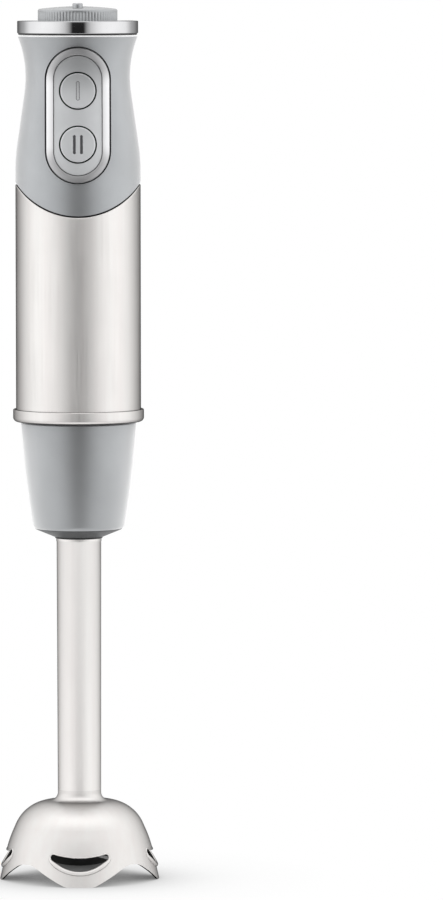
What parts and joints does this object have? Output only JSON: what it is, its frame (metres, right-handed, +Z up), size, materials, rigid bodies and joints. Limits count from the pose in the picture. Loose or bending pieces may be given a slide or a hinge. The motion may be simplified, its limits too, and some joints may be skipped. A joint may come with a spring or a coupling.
{
  "type": "immersion blender",
  "caption": "Hand-held immersion blender: waisted grip with buttons and speed dial over a steel sleeve, and a twist-lock foot with collar, tube, slotted bell and blade.",
  "frame": {"origin": "on the floor under the axis, where the bell's feet stand", "axes": "+Z up along the shaft towards the speed dial, buttons facing -Y, cord inlet facing +Y"},
  "size_m": [0.0728, 0.0728, 0.4],
  "materials": {
    "grey_plastic": "satin moulded",
    "panel_plastic": "satin moulded",
    "dial_plastic": "satin moulded",
    "cap_plastic": "satin moulded",
    "brushed_steel": "brushed",
    "polished_chrome": "polished",
    "black_plastic": "moulded",
    "board": "laminated board",
    "rubber": "matt",
    "lamination": "stacked sheet",
    "copper": "enamelled wire and bars",
    "bracket_metal": "die cast",
    "bronze": "sintered",
    "carbon": "pressed carbon",
    "bare_steel": "ground"
  },
  "bodies": {
    "handle": {"grip_housing": "grey_plastic", "steel_sleeve": "brushed_steel", "base_ring": "brushed_steel", "top_ring": "polished_chrome", "top_cap": "cap_plastic", "speed_control": "black_plastic", "button_bezel": "polished_chrome", "button_panel": "panel_plastic", "switch_board": "board", "run_switch": "black_plastic", "boost_switch": "black_plastic", "cord_gland": "rubber", "chassis_front": "black_plastic", "chassis_rear": "black_plastic", "chassis_screws": "bare_steel", "stator_core": "lamination", "field_coils": "copper", "lower_bracket": "bracket_metal", "upper_bracket": "bracket_metal", "tie_screws": "bare_steel", "damper_ring": "rubber", "brush_holders": "black_plastic", "carbon_brushes": "carbon", "upper_bush": "bronze", "lower_bearing": "bare_steel", "coupling_nose": "black_plastic", "nose_screws": "bare_steel"},
    "dial": {"speed_dial": "dial_plastic", "control_spindle": "bare_steel"},
    "run_key": {"run_button": "panel_plastic", "run_plunger": "black_plastic"},
    "boost_key": {"boost_button": "panel_plastic", "boost_plunger": "black_plastic"},
    "rotor": {"motor_shaft": "bare_steel", "armature_core": "lamination", "armature_winding": "copper", "commutator": "copper", "cooling_fan": "black_plastic", "drive_dog": "black_plastic"},
    "gasket": {"foot_gasket": "rubber"},
    "foot": {"collar": "grey_plastic", "collar_core": "black_plastic", "shaft_tube": "brushed_steel", "bell_guard": "brushed_steel", "upper_foot_bush": "bronze", "bearing_carrier": "black_plastic", "lower_foot_bush": "bronze", "shaft_seal": "rubber"},
    "blade_drive": {"foot_shaft": "bare_steel", "foot_dog": "black_plastic", "blade": "bare_steel", "blade_spacer": "bare_steel", "blade_nut": "bare_steel"}
  },
  "joints": [
    {"name": "dial_turn", "type": "hinge", "parent": "handle", "child": "dial", "pos_m": [0, 0, 0.39], "axis": [0, 0, 1], "range_deg": [0, 270]},
    {"name": "run_press", "type": "slide", "parent": "handle", "child": "run_key", "axis": [0, 1, 0], "range_m": [0, 0.002], "stiffness_N_per_m": 400, "springref_m": -0.003},
    {"name": "boost_press", "type": "slide", "parent": "handle", "child": "boost_key", "axis": [0, 1, 0], "range_m": [0, 0.002], "stiffness_N_per_m": 400, "springref_m": -0.003},
    {"name": "rotor_spin", "type": "hinge", "parent": "handle", "child": "rotor", "pos_m": [0, 0, 0.25], "axis": [0, 0, 1], "continuous": true},
    {"name": "foot_drop", "type": "slide", "parent": "handle", "child": "gasket", "axis": [0, 0, -1], "range_m": [0, 0.012]},
    {"name": "foot_turn", "type": "hinge", "parent": "gasket", "child": "foot", "pos_m": [0, 0, 0.2], "axis": [0, 0, -1], "range_deg": [0, 60]},
    {"name": "blade_spin", "type": "hinge", "parent": "gasket", "child": "blade_drive", "pos_m": [0, 0, 0.1], "axis": [0, 0, 1], "continuous": true}
  ],
  "couplings": [
    {"joint": "foot_drop", "follows": "foot_turn", "m_per_rad": 0.011458},
    {"joint": "blade_spin", "follows": "rotor_spin", "ratio": 1}
  ]
}
